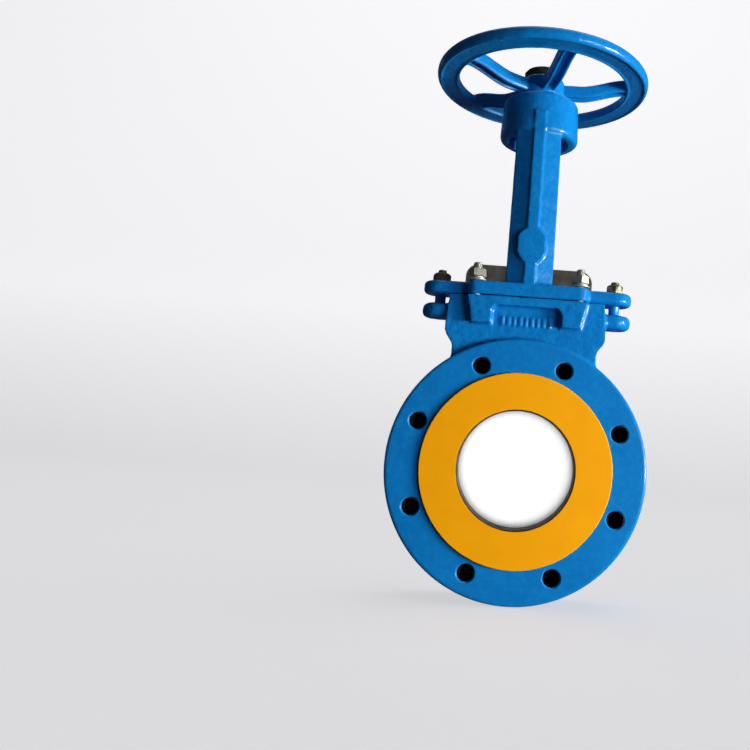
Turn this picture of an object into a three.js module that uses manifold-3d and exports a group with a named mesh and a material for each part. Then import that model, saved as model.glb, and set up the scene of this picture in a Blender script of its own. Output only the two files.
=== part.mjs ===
// Knife gate valve for a 100 mm pipe: cast body, two-arm yoke, rising stem and handwheel.
// Millimetres, +Z up, +X right, front flange towards -Y, gate closed.
// Origin: centre of the bore, on the middle plane of the body.
import * as THREE from 'three';
import { mergeVertices } from 'three/addons/utils/BufferGeometryUtils.js';
import Module from 'manifold-3d';

const wasm = await Module();
wasm.setup();

// ---- Driving dimensions -------------------------------------------------------------------

const GAP = 0.3; // clearance left between neighbouring pieces

// Flanges: the 100 mm, 16 bar raised-face pattern with eight tapped holes.
const FLANGE_R = 107.5;
const FLANGE_IN = 9; // inner face of each flange disc, from the middle plane
const FLANGE_OUT = 23;
const FACE_R = 79;
const FACE_OUT = 25.5;
const BORE_R = 48;
const BOLT_CIRCLE_R = 90;
const BOLT_COUNT = 8;
const BOLT_HOLE_R = 7;
const BOLT_HOLE_FLOOR = 9; // the holes are blind, and stop this far from the middle plane
const LUG_R = 11.5;

// Gate and the slot it slides in.
const GATE_HALF_X = 55;
const GATE_HALF_Y = 4;
const GATE_TOP = 172.5;
const SLOT_HALF_X = 56;
const SLOT_HALF_Y = 4.5;

// Seat in the rear flange.
const SEAT_R = 54;
const SEAT_JOINT_Y = 11; // where the rubber seat meets its retaining ring

// Chest: the packing box at the top of the body.
const NECK_HALF_X = 61.5;
const CHEST_HALF_X = 68.5;
const CHEST_HALF_Y = 18;
const CHEST_TOP = 143;
const PAD_HALF_Y = 25;
const BOX_HALF_X = 63;
const BOX_HALF_Y = 12.5;
const BOX_FLOOR = 112;
const PACKING_COUNT = 3;
const PACKING_SIZE = 7.7;
const FOLLOWER_TOP = 143;

// Ears with the two long studs.
const EAR_X = 75.7;
const EAR_R = 15;
const LOW_EAR = [122.5, 136];
const EAR_STUD_R = 4.7;
const EAR_THREAD_R = 3.8;
const EAR_STUD_Z = [122.8, 154.8, 165.4];
const EAR_NUT_Z = [155.3, 162.6];
const EAR_NUT_AF = 13.5;

// Yoke foot plate and its four studs.
const PLATE_Z = [143.3, 155];
const PLATE_HALF_X = 52;
const PLATE_STUD = { x: 44, y: 18.5, r: 3.8, z: [125.3, 170.7] };
const PLATE_WASHER_Z = [155.3, 156.5];
const SPRING_WASHER_Z = [156.8, 158.3];
const PLATE_NUT_Z = [158.6, 165.3];
const PLATE_NUT_AF = 13;

// Yoke arms and hub. Distances of an arm's faces from the stem's axis, at its foot and its top.
const ARM_Z = [153, 304];
const ARM_HALF_X = 20;
const RIB_HALF_X = 4.8;
const ARM_FOOT = { inner: 14.5, edge: 18, shoulder: 23.6, front: 25 };
const ARM_TOP = { inner: 22.4, edge: 28.6, shoulder: 34.5, front: 36.2 };
const BOSS = { halfX: 12, z: [171.4, 203.5] };
const HUB_R = 33.8;
const HUB_Z = [286.5, 324];
const HUB_BORE_R = 27;
const HUB_WEB_Z = [296, 301];
const HUB_WEB_HOLE_R = 15.3;

// Stem, its nut and the clevis that joins it to the gate.
const STEM_R = 9;
const STEM_TOP = 357.5;
const SPIGOT_R = 6;
const CLEVIS = { halfX: 17, halfY: 9.5, z: [157, 190], slotTop: 173, socketFloor: 176 };
const CLEVIS_BOLT = { x: 10, z: 165, r: 3, headAF: 10, headH: 4 };
const STEM_PIN = { z: 183, r: 2.5, halfX: 16.7 };
const NUT_BORE_R = 9.35;
const NUT_BODY_R = 15;
const NUT_SLEEVE_R = 12;
const NUT_FLANGE_R = 24;
const NUT_FLANGE_Z = [304, 311];
const NUT_Z = [296.4, 355.8];
const NUT_SHOULDER = 326.7;
const THRUST_H = 2.4;
const CAP_Z = [314, 323.5];

// Handwheel and what holds it.
const WHEEL_HUB_R = 20;
const WHEEL_HUB_Z = [327, 346.5];
const SPOKE_COUNT = 5;
const SPOKE_FIRST_DEG = -2.5;
const SPOKE_HALF_W = 6.75;
const KEY = { halfX: 2, y: [10.9, 13.9], z: [328, 345] };
const WHEEL_WASHER_Z = [346.8, 348.6];
const LOCKNUT_Z = [348.9, 354.8];
const LOCKNUT_AF = 30;

const MATERIALS = {
  blue: { color: 0x0c74bc, roughness: 0.35, metalness: 0.1 },
  orange: { color: 0xf0a010, roughness: 0.5, metalness: 0 },
  stainless: { color: 0xc9cbc8, roughness: 0.3, metalness: 0.9 },
  steel: { color: 0x8c8e8c, roughness: 0.45, metalness: 0.8 },
  zinc: { color: 0xb4b5b2, roughness: 0.35, metalness: 0.85 },
  dark: { color: 0x2a2522, roughness: 0.55, metalness: 0.5 },
  brass: { color: 0xb88a3e, roughness: 0.4, metalness: 0.8 },
  rubber: { color: 0x1c1c1c, roughness: 0.85, metalness: 0 },
  fibre: { color: 0x4a463c, roughness: 0.9, metalness: 0 },
};

// ---- Helpers ------------------------------------------------------------------------------

function signedVolume(positions, index) {
  const a = new THREE.Vector3();
  const b = new THREE.Vector3();
  const c = new THREE.Vector3();
  let sum = 0;
  for (let i = 0; i < index.length; i += 3) {
    a.fromArray(positions, 3 * index[i]);
    b.fromArray(positions, 3 * index[i + 1]);
    c.fromArray(positions, 3 * index[i + 2]);
    sum += a.dot(b.cross(c));
  }
  return sum;
}

// A closed three.js geometry as a solid that can be joined and cut.
function solid(geometry) {
  const bare = geometry.clone();
  bare.deleteAttribute('normal');
  bare.deleteAttribute('uv');
  const welded = mergeVertices(bare, 1e-3);
  const positions = new Float32Array(welded.attributes.position.array);
  const kept = [];
  const raw = welded.index.array;
  for (let i = 0; i < raw.length; i += 3) {
    const [a, b, c] = [raw[i], raw[i + 1], raw[i + 2]];
    if (a !== b && b !== c && c !== a) kept.push(a, b, c);
  }
  if (signedVolume(positions, kept) < 0) kept.reverse();
  const triVerts = new Uint32Array(kept);
  return new wasm.Manifold(new wasm.Mesh({ numProp: 3, vertProperties: positions, triVerts }));
}

function joined(parts) {
  return parts.reduce((sum, part) => sum.add(part));
}

function cut(body, tools) {
  return tools.reduce((rest, tool) => rest.subtract(tool), body);
}

function box(x, y, z) {
  const g = new THREE.BoxGeometry(x[1] - x[0], y[1] - y[0], z[1] - z[0]);
  g.translate((x[0] + x[1]) / 2, (y[0] + y[1]) / 2, (z[0] + z[1]) / 2);
  return solid(g);
}

// A profile of [radius, height] points turned about the Z axis, or about Y.
function turned(profile, segments, axis = 'Z') {
  const points = [...profile, profile[0]].map(([r, h]) => new THREE.Vector2(r, h));
  const g = new THREE.LatheGeometry(points, segments);
  if (axis === 'Z') g.rotateX(Math.PI / 2);
  return solid(g);
}

function ring(inner, outer, z, segments, axis = 'Z') {
  return turned([[inner, z[0]], [outer, z[0]], [outer, z[1]], [inner, z[1]]], segments, axis);
}

function rod(radius, z, segments, axis = 'Z') {
  return turned([[0, z[0]], [radius, z[0]], [radius, z[1]], [0, z[1]]], segments, axis);
}

// A rod with a small bevel at each end.
function bevelledRod(radius, z, bevel, segments) {
  return turned([
    [0, z[0]],
    [radius - bevel, z[0]],
    [radius, z[0] + bevel],
    [radius, z[1] - bevel],
    [radius - bevel, z[1]],
    [0, z[1]],
  ], segments);
}

function moved(body, x, y, z) {
  return body.translate([x, y, z]);
}

function turnedAboutZ(body, degrees) {
  return body.rotate([0, 0, degrees]);
}

function flippedFrontToBack(body) {
  return body.rotate([0, 0, 180]);
}

function outline(points) {
  return new THREE.Shape(points.map(([u, v]) => new THREE.Vector2(u, v)));
}

function roundedOutline(u, v, r) {
  const s = new THREE.Shape();
  s.moveTo(u[0] + r, v[0]);
  s.lineTo(u[1] - r, v[0]);
  s.absarc(u[1] - r, v[0] + r, r, -Math.PI / 2, 0);
  s.lineTo(u[1], v[1] - r);
  s.absarc(u[1] - r, v[1] - r, r, 0, Math.PI / 2);
  s.lineTo(u[0] + r, v[1]);
  s.absarc(u[0] + r, v[1] - r, r, Math.PI / 2, Math.PI);
  s.lineTo(u[0], v[0] + r);
  s.absarc(u[0] + r, v[0] + r, r, Math.PI, 1.5 * Math.PI);
  return s;
}

const X = new THREE.Vector3(1, 0, 0);
const Y = new THREE.Vector3(0, 1, 0);
const Z = new THREE.Vector3(0, 0, 1);

// An outline in the XY, XZ or YZ plane, extruded along the third axis between two heights.
function prism(shape, plane, span, curveSegments = 5) {
  const depth = span[1] - span[0];
  const g = new THREE.ExtrudeGeometry(shape, { depth, bevelEnabled: false, curveSegments });
  g.translate(0, 0, plane === 'XZ' ? -span[1] : span[0]);
  if (plane === 'XZ') g.applyMatrix4(new THREE.Matrix4().makeBasis(X, Z, Y.clone().negate()));
  if (plane === 'YZ') g.applyMatrix4(new THREE.Matrix4().makeBasis(Y, Z, X));
  return solid(g);
}

// A solid between two outlines with the same number of points, at two heights.
function loft(low, high, z) {
  const n = low.length;
  const positions = [];
  for (const [x, y] of low) positions.push(x, y, z[0]);
  for (const [x, y] of high) positions.push(x, y, z[1]);
  const index = [];
  for (let i = 0; i < n; i += 1) {
    const next = (i + 1) % n;
    index.push(i, next, n + next, i, n + next, n + i);
  }
  const corners = low.map(([x, y]) => new THREE.Vector2(x, y));
  for (const [a, b, c] of THREE.ShapeUtils.triangulateShape(corners, [])) {
    index.push(c, b, a, n + a, n + b, n + c);
  }
  const g = new THREE.BufferGeometry();
  g.setAttribute('position', new THREE.Float32BufferAttribute(positions, 3));
  g.setIndex(index);
  return solid(g);
}

function hexagon(acrossFlats) {
  const r = acrossFlats / Math.sqrt(3);
  const corners = [];
  for (let i = 0; i < 6; i += 1) {
    const a = (i * Math.PI) / 3;
    corners.push([r * Math.cos(a), r * Math.sin(a)]);
  }
  return outline(corners);
}

// A hexagonal nut standing on the Z axis, its corners bevelled at the top.
function nut(acrossFlats, holeR, z) {
  const r = acrossFlats / Math.sqrt(3);
  const bevel = r * 0.14;
  const envelope = turned([
    [0, z[0]],
    [r, z[0]],
    [r, z[1] - bevel * 0.6],
    [r - bevel, z[1]],
    [0, z[1]],
  ], 24);
  const hole = rod(holeR, [z[0] - 1, z[1] + 1], 20);
  return prism(hexagon(acrossFlats), 'XY', z).intersect(envelope).subtract(hole);
}

const group = new THREE.Group();
group.name = 'knife_gate_valve';

function addPiece(name, body, look) {
  const data = body.getMesh();
  const g = new THREE.BufferGeometry();
  g.setAttribute('position', new THREE.BufferAttribute(new Float32Array(data.vertProperties), 3));
  g.setIndex(new THREE.BufferAttribute(new Uint32Array(data.triVerts), 1));
  g.computeVertexNormals();
  const mesh = new THREE.Mesh(g, new THREE.MeshStandardMaterial(MATERIALS[look]));
  mesh.name = name;
  group.add(mesh);
}

// ---- Body ---------------------------------------------------------------------------------

function flange(side) {
  const y = side < 0 ? [-FLANGE_OUT, -FLANGE_IN] : [FLANGE_IN, FLANGE_OUT];
  const face = side < 0 ? [-FACE_OUT, -FLANGE_OUT + 1] : [FLANGE_OUT - 1, FACE_OUT];
  return rod(FLANGE_R, y, 72, 'Y').add(rod(FACE_R, face, 72, 'Y'));
}

// Stiffening ribs between the two flange discs, clear of the bolt holes.
function flangeRibs() {
  const ribs = [];
  for (const degrees of [0, 180, 225, 270, 315]) {
    const rib = box([50, FLANGE_R - 6], [-FLANGE_IN - 1, FLANGE_IN + 1], [-4, 4]);
    ribs.push(rib.rotate([0, -degrees, 0]));
  }
  return ribs;
}

function neckAndChest() {
  const side = [
    [NECK_HALF_X, 80],
    [NECK_HALF_X, 99],
    [NECK_HALF_X + 2, 103.5],
    [CHEST_HALF_X - 1.8, 107.5],
    [CHEST_HALF_X, 112],
    [CHEST_HALF_X, 118],
    [CHEST_HALF_X - 2, CHEST_TOP],
  ];
  const mirrored = side.map(([x, z]) => [-x, z]).reverse();
  const chest = prism(outline([...side, ...mirrored]), 'XZ', [-CHEST_HALF_Y, CHEST_HALF_Y]);
  const core = box([-NECK_HALF_X, NECK_HALF_X], [-15, 15], [0, 100]);
  const round = rod(NECK_HALF_X + 0.5, [-15, 15], 56, 'Y');
  return [chest, core, round];
}

// The raised pad on each face of the chest, with a notch open at its lower edge.
function chestPad() {
  const pad = outline([
    [-46.5, 119],
    [-29, 119],
    [-29, 131],
    [-25, 135],
    [25, 135],
    [29, 131],
    [29, 119],
    [46.5, 119],
    [51.5, CHEST_TOP],
    [-51.5, CHEST_TOP],
  ]);
  return prism(pad, 'XZ', [-PAD_HALF_Y, -CHEST_HALF_Y + 2]);
}

function ear(side, z) {
  const s = new THREE.Shape();
  s.moveTo(45, -EAR_R);
  s.lineTo(EAR_X, -EAR_R);
  s.absarc(EAR_X, 0, EAR_R, -Math.PI / 2, Math.PI / 2);
  s.lineTo(45, EAR_R);
  const body = prism(s, 'XY', z, 8);
  return side > 0 ? body : body.rotate([0, 0, 180]);
}

function gateSlot() {
  const straight = box([-SLOT_HALF_X, SLOT_HALF_X], [-SLOT_HALF_Y, SLOT_HALF_Y], [0, CHEST_TOP + 1]);
  return straight.add(rod(SLOT_HALF_X, [-SLOT_HALF_Y, SLOT_HALF_Y], 48, 'Y'));
}

function boltPlaces() {
  const places = [];
  for (let i = 0; i < BOLT_COUNT; i += 1) {
    const a = ((i + 0.5) * 2 * Math.PI) / BOLT_COUNT;
    places.push([BOLT_CIRCLE_R * Math.cos(a), BOLT_CIRCLE_R * Math.sin(a)]);
  }
  return places;
}

// Round lugs that join the two discs behind the bolt holes. The chest does this for the top pair.
function boltLugs() {
  return boltPlaces()
    .filter(([, z]) => z < NECK_HALF_X)
    .map(([x, z]) => moved(rod(LUG_R, [-FLANGE_IN - 1, FLANGE_IN + 1], 24, 'Y'), x, 0, z));
}

function boltHoles() {
  return boltPlaces().flatMap(([x, z]) => [
    moved(rod(BOLT_HOLE_R, [-FLANGE_OUT - 1, -BOLT_HOLE_FLOOR], 16, 'Y'), x, 0, z),
    moved(rod(BOLT_HOLE_R, [BOLT_HOLE_FLOOR, FLANGE_OUT + 1], 16, 'Y'), x, 0, z),
  ]);
}

function plateStudPlaces() {
  const places = [];
  for (const y of [-PLATE_STUD.y, PLATE_STUD.y]) {
    for (const x of [-PLATE_STUD.x, PLATE_STUD.x]) places.push([x, y]);
  }
  return places;
}

function valveBody() {
  const pad = chestPad();
  const cast = joined([
    flange(-1),
    flange(1),
    ...flangeRibs(),
    ...boltLugs(),
    ...neckAndChest(),
    pad,
    flippedFrontToBack(pad),
    ear(-1, LOW_EAR),
    ear(1, LOW_EAR),
  ]);
  const packingBox = box([-BOX_HALF_X, BOX_HALF_X], [-BOX_HALF_Y, BOX_HALF_Y], [BOX_FLOOR, CHEST_TOP + 1]);
  const studHoles = plateStudPlaces().map(([x, y]) =>
    moved(rod(PLATE_STUD.r + GAP, [125, CHEST_TOP + 1], 14), x, y, 0));
  const earHoles = [-EAR_X, EAR_X].map((x) =>
    moved(rod(EAR_STUD_R + GAP, [LOW_EAR[0] - 1, LOW_EAR[1] + 1], 16), x, 0, 0));
  return cut(cast, [
    rod(BORE_R, [-FACE_OUT - 1, FACE_OUT + 1], 56, 'Y'),
    rod(SEAT_R + GAP, [0, FACE_OUT + 1], 56, 'Y'),
    gateSlot(),
    packingBox,
    ...boltHoles(),
    ...studHoles,
    ...earHoles,
  ]);
}

// ---- Gate, seat and packing ---------------------------------------------------------------

function gate() {
  const s = new THREE.Shape();
  const corner = 11;
  s.moveTo(-GATE_HALF_X, 0);
  s.absarc(0, 0, GATE_HALF_X, Math.PI, 2 * Math.PI);
  s.lineTo(GATE_HALF_X, GATE_TOP - corner);
  s.absarc(GATE_HALF_X - corner, GATE_TOP - corner, corner, 0, Math.PI / 2);
  s.lineTo(-GATE_HALF_X + corner, GATE_TOP);
  s.absarc(-GATE_HALF_X + corner, GATE_TOP - corner, corner, Math.PI / 2, Math.PI);
  const blade = prism(s, 'XZ', [-GATE_HALF_Y, GATE_HALF_Y], 20);
  const holes = [-CLEVIS_BOLT.x, CLEVIS_BOLT.x].map((x) =>
    moved(rod(CLEVIS_BOLT.r + GAP, [-9, 9], 12, 'Y'), x, 0, CLEVIS_BOLT.z));
  return cut(blade, holes);
}

function boxLoop(z, clearance) {
  const outer = roundedOutline([-BOX_HALF_X + GAP, BOX_HALF_X - GAP], [-BOX_HALF_Y + GAP, BOX_HALF_Y - GAP], 1);
  const inX = GATE_HALF_X + clearance;
  const inY = GATE_HALF_Y + clearance;
  outer.holes.push(roundedOutline([-inX, inX], [-inY, inY], 0.6));
  return prism(outer, 'XY', z, 2);
}

function addPacking() {
  for (let i = 0; i < PACKING_COUNT; i += 1) {
    const low = BOX_FLOOR + GAP + i * (PACKING_SIZE + GAP);
    addPiece(`packing_ring_${i + 1}`, boxLoop([low, low + PACKING_SIZE], GAP), 'fibre');
  }
  const low = BOX_FLOOR + GAP + PACKING_COUNT * (PACKING_SIZE + GAP);
  addPiece('packing_follower', boxLoop([low, FOLLOWER_TOP], 0.4), 'steel');
}

// ---- Yoke ---------------------------------------------------------------------------------

function footPlate() {
  const z = PLATE_Z;
  const plate = prism(roundedOutline([-PLATE_HALF_X, PLATE_HALF_X], [-PAD_HALF_Y, PAD_HALF_Y], 8), 'XY', z);
  return joined([plate, ear(-1, z), ear(1, z)]);
}

// The points of an arm's section: a flat inner face, sloping flanks and a narrow flat rib.
function armSection({ inner, edge, shoulder, front }) {
  return [
    [-ARM_HALF_X, -inner],
    [-ARM_HALF_X, -edge],
    [-RIB_HALF_X, -shoulder],
    [-RIB_HALF_X, -front],
    [RIB_HALF_X, -front],
    [RIB_HALF_X, -shoulder],
    [ARM_HALF_X, -edge],
    [ARM_HALF_X, -inner],
  ];
}

// The front arm leans out from the foot plate to the hub, with an oval boss near its foot.
function frontArm() {
  const ribFront = outline([
    [-ARM_FOOT.shoulder + 4, ARM_Z[0]],
    [-ARM_TOP.shoulder + 4, ARM_Z[1]],
    [-ARM_TOP.front, ARM_Z[1]],
    [-ARM_FOOT.front, ARM_Z[0]],
  ]);
  const boss = roundedOutline([-BOSS.halfX, BOSS.halfX], BOSS.z, BOSS.halfX - 0.1);
  const bossBlock = prism(boss, 'XZ', [-ARM_TOP.front, -ARM_FOOT.inner]);
  return joined([
    loft(armSection(ARM_FOOT), armSection(ARM_TOP), ARM_Z),
    bossBlock.intersect(prism(ribFront, 'YZ', [-ARM_HALF_X, ARM_HALF_X])),
  ]);
}

function yokeHub() {
  return turned([
    [0, HUB_Z[0]],
    [HUB_R - 4.5, HUB_Z[0]],
    [HUB_R, HUB_Z[0] + 4.5],
    [HUB_R, HUB_Z[1] - 3],
    [HUB_R - 2.5, HUB_Z[1]],
    [0, HUB_Z[1]],
  ], 56);
}

function yoke() {
  const arm = frontArm();
  const cast = joined([footPlate(), arm, flippedFrontToBack(arm), yokeHub()]);
  const studHoles = plateStudPlaces().map(([x, y]) =>
    moved(rod(PLATE_STUD.r + 0.7, [PLATE_Z[0] - 1, PLATE_Z[1] + 1], 14), x, y, 0));
  const earHoles = [-EAR_X, EAR_X].map((x) =>
    moved(rod(EAR_STUD_R + 0.6, [PLATE_Z[0] - 1, PLATE_Z[1] + 1], 16), x, 0, 0));
  const window = box([-GATE_HALF_X - 0.6, GATE_HALF_X + 0.6], [-4.6, 4.6], [PLATE_Z[0] - 1, PLATE_Z[1] + 1]);
  return cut(cast, [
    window,
    rod(HUB_BORE_R, [HUB_Z[0] - 1, HUB_WEB_Z[0]], 48),
    rod(HUB_WEB_HOLE_R, [HUB_Z[0] - 1, HUB_Z[1] + 1], 32),
    rod(HUB_BORE_R, [HUB_WEB_Z[1], HUB_Z[1] + 1], 48),
    ...studHoles,
    ...earHoles,
  ]);
}

// ---- Studs, washers and nuts --------------------------------------------------------------

function springWasher() {
  const slit = box([3, 10], [-0.5, 0.5], [SPRING_WASHER_Z[0] - 1, SPRING_WASHER_Z[1] + 1]);
  return ring(PLATE_STUD.r + GAP, 6.5, SPRING_WASHER_Z, 20).subtract(slit);
}

function addPlateFasteners() {
  const { r, z } = PLATE_STUD;
  plateStudPlaces().forEach(([x, y], i) => {
    const n = i + 1;
    addPiece(`plate_stud_${n}`, moved(bevelledRod(r, z, 0.6, 14), x, y, 0), 'zinc');
    addPiece(`plate_washer_${n}`, moved(ring(r + GAP, 8, PLATE_WASHER_Z, 20), x, y, 0), 'zinc');
    const spring = turnedAboutZ(springWasher(), 40 + 95 * i);
    addPiece(`plate_spring_washer_${n}`, moved(spring, x, y, 0), 'zinc');
    const hex = turnedAboutZ(nut(PLATE_NUT_AF, r + GAP, PLATE_NUT_Z), 10 + 23 * i);
    addPiece(`plate_nut_${n}`, moved(hex, x, y, 0), 'zinc');
  });
}

function earStud() {
  const [foot, shoulder, top] = EAR_STUD_Z;
  return turned([
    [0, foot],
    [EAR_STUD_R - 0.8, foot],
    [EAR_STUD_R, foot + 0.8],
    [EAR_STUD_R, shoulder],
    [EAR_THREAD_R, shoulder],
    [EAR_THREAD_R, top - 0.8],
    [EAR_THREAD_R - 0.8, top],
    [0, top],
  ], 16);
}

function addEarFasteners() {
  [-EAR_X, EAR_X].forEach((x, i) => {
    const n = i + 1;
    addPiece(`ear_stud_${n}`, moved(earStud(), x, 0, 0), 'blue');
    const hex = turnedAboutZ(nut(EAR_NUT_AF, EAR_THREAD_R + GAP, EAR_NUT_Z), 30 * i);
    addPiece(`ear_nut_${n}`, moved(hex, x, 0, 0), 'zinc');
  });
}

// ---- Stem, clevis and drive ---------------------------------------------------------------

function stem() {
  const shoulder = CLEVIS.z[1] + GAP;
  return turned([
    [0, CLEVIS.socketFloor + GAP],
    [SPIGOT_R, CLEVIS.socketFloor + GAP],
    [SPIGOT_R, shoulder],
    [STEM_R, shoulder],
    [STEM_R, STEM_TOP - 1.5],
    [STEM_R - 1.5, STEM_TOP],
    [0, STEM_TOP],
  ], 28).subtract(crossPin(STEM_PIN.r + GAP, 20));
}

function crossPin(radius, halfX) {
  return moved(rod(radius, [-halfX, halfX], 14).rotate([0, 90, 0]), 0, 0, STEM_PIN.z);
}

function clevis() {
  const { halfX, halfY, z } = CLEVIS;
  const block = prism(roundedOutline([-halfX, halfX], [-halfY, halfY], 2), 'XY', z, 3);
  const slot = box([-halfX - 1, halfX + 1], [-GATE_HALF_Y - GAP, GATE_HALF_Y + GAP], [z[0] - 1, CLEVIS.slotTop]);
  const boltHoles = [-CLEVIS_BOLT.x, CLEVIS_BOLT.x].map((x) =>
    moved(rod(CLEVIS_BOLT.r + GAP, [-halfY - 1, halfY + 1], 12, 'Y'), x, 0, CLEVIS_BOLT.z));
  const socket = rod(SPIGOT_R + GAP, [CLEVIS.socketFloor, z[1] + 1], 24);
  return cut(block, [slot, socket, crossPin(STEM_PIN.r + GAP, halfX + 1), ...boltHoles]);
}

function addClevisBolts() {
  const { x, z, r, headAF, headH } = CLEVIS_BOLT;
  const face = CLEVIS.halfY + GAP;
  [-x, x].forEach((at, i) => {
    const n = i + 1;
    const shank = rod(r, [-face - 1, face + headH], 12, 'Y');
    const head = prism(hexagon(headAF), 'XZ', [-face - headH, -face]);
    addPiece(`clevis_bolt_${n}`, moved(head.add(shank), at, 0, z), 'stainless');
    const hex = prism(hexagon(headAF), 'XZ', [face, face + headH - 0.5]);
    const hole = rod(r + GAP, [face - 1, face + headH + 1], 12, 'Y');
    addPiece(`clevis_nut_${n}`, moved(hex.subtract(hole), at, 0, z), 'stainless');
  });
}

// The stem nut: it turns in the yoke hub and carries the handwheel on its upper sleeve.
function stemNut() {
  const body = turned([
    [NUT_BORE_R, NUT_Z[0]],
    [NUT_BODY_R, NUT_Z[0]],
    [NUT_BODY_R, NUT_FLANGE_Z[0]],
    [NUT_FLANGE_R, NUT_FLANGE_Z[0]],
    [NUT_FLANGE_R, NUT_FLANGE_Z[1]],
    [NUT_BODY_R, NUT_FLANGE_Z[1]],
    [NUT_BODY_R, NUT_SHOULDER],
    [NUT_SLEEVE_R, NUT_SHOULDER],
    [NUT_SLEEVE_R, NUT_Z[1] - 1],
    [NUT_SLEEVE_R - 1, NUT_Z[1]],
    [NUT_BORE_R, NUT_Z[1]],
  ], 32);
  return body.subtract(keyway());
}

function keyway() {
  const { halfX, y, z } = KEY;
  return box([-halfX - GAP, halfX + GAP], [y[0] - GAP, y[1] + GAP], [z[0] - GAP, z[1] + GAP]);
}

function bearingCap() {
  const cap = ring(NUT_BODY_R + GAP, HUB_BORE_R - GAP, CAP_Z, 40);
  const spannerHoles = [-21, 21].map((x) => moved(rod(2, [CAP_Z[1] - 5, CAP_Z[1] + 1], 12), x, 0, 0));
  return cut(cap, spannerHoles);
}

function addDrive() {
  const inner = NUT_BODY_R + GAP;
  const lowWasher = [NUT_FLANGE_Z[0] - GAP - THRUST_H, NUT_FLANGE_Z[0] - GAP];
  const highWasher = [NUT_FLANGE_Z[1] + GAP, NUT_FLANGE_Z[1] + GAP + THRUST_H - 0.1];
  addPiece('stem_nut', stemNut(), 'brass');
  addPiece('lower_thrust_washer', ring(inner, NUT_FLANGE_R, lowWasher, 32), 'steel');
  addPiece('upper_thrust_washer', ring(inner, NUT_FLANGE_R, highWasher, 32), 'steel');
  addPiece('bearing_cap', bearingCap(), 'steel');
}

// ---- Handwheel ----------------------------------------------------------------------------

function rim() {
  return turned([
    [76.2, 339.3],
    [77.8, 338.5],
    [92, 338.5],
    [93.9, 339.6],
    [95.2, 343.4],
    [94.4, 347],
    [91.4, 349.6],
    [86, 350.3],
    [80, 349.4],
    [76.2, 346.8],
    [75.2, 343.2],
  ], 72);
}

// Height of a spoke's middle line: level by the hub, rising to the rim.
function spokeHeight(r) {
  const t = THREE.MathUtils.smoothstep(r, 34, 76);
  return THREE.MathUtils.lerp(336.2, 344.4, t);
}

function spokeBand(r0, r1, below, above) {
  const steps = 9;
  const low = [];
  const high = [];
  for (let i = 0; i <= steps; i += 1) {
    const r = THREE.MathUtils.lerp(r0, r1, i / steps);
    low.push([r, spokeHeight(r) - below]);
    high.push([r, spokeHeight(r) + above]);
  }
  return outline([...low, ...high.reverse()]);
}

function spoke() {
  const beam = prism(spokeBand(17, 81, 5.6, 5.6), 'XZ', [-SPOKE_HALF_W, SPOKE_HALF_W]);
  const channel = prism(spokeBand(25, 72, 9, -0.5), 'XZ', [-SPOKE_HALF_W + 3, SPOKE_HALF_W - 3]);
  return beam.subtract(channel);
}

function handwheel() {
  const hub = turned([
    [0, WHEEL_HUB_Z[0]],
    [WHEEL_HUB_R - 1, WHEEL_HUB_Z[0]],
    [WHEEL_HUB_R, WHEEL_HUB_Z[0] + 1],
    [WHEEL_HUB_R, WHEEL_HUB_Z[1] - 2],
    [WHEEL_HUB_R - 2, WHEEL_HUB_Z[1]],
    [0, WHEEL_HUB_Z[1]],
  ], 36);
  const spokes = [];
  for (let i = 0; i < SPOKE_COUNT; i += 1) {
    spokes.push(turnedAboutZ(spoke(), SPOKE_FIRST_DEG + (i * 360) / SPOKE_COUNT));
  }
  const bore = rod(NUT_SLEEVE_R + GAP, [WHEEL_HUB_Z[0] - 1, WHEEL_HUB_Z[1] + 1], 32);
  return cut(joined([hub, rim(), ...spokes]), [bore, keyway()]);
}

function addWheelParts() {
  const { halfX, y, z } = KEY;
  addPiece('handwheel', handwheel(), 'blue');
  addPiece('wheel_key', box([-halfX, halfX], y, z), 'steel');
  addPiece('wheel_washer', ring(NUT_SLEEVE_R + GAP, 17.5, WHEEL_WASHER_Z, 28), 'dark');
  const locknut = nut(LOCKNUT_AF, NUT_SLEEVE_R + GAP, LOCKNUT_Z);
  addPiece('wheel_locknut', turnedAboutZ(locknut, 12), 'dark');
}

// ---- Assembly -----------------------------------------------------------------------------

addPiece('body', valveBody(), 'blue');
addPiece('seat_ring', ring(BORE_R, SEAT_R, [GATE_HALF_Y + GAP, SEAT_JOINT_Y], 56, 'Y'), 'rubber');
addPiece(
  'seat_retaining_ring',
  ring(BORE_R, SEAT_R, [SEAT_JOINT_Y + GAP, FACE_OUT - GAP], 56, 'Y'),
  'stainless',
);
addPiece('gate', gate(), 'stainless');
addPacking();
addPiece('yoke', yoke(), 'blue');
addPlateFasteners();
addEarFasteners();
addPiece('stem', stem(), 'stainless');
addPiece('stem_clevis', clevis(), 'stainless');
addPiece('stem_pin', crossPin(STEM_PIN.r, STEM_PIN.halfX), 'steel');
addClevisBolts();
addDrive();
addWheelParts();

export default group;
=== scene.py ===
"""Looks of a hand-operated knife gate valve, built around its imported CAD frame."""
import math

import bmesh
import bpy
import numpy as np
from mathutils import Matrix, Vector, noise


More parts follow.
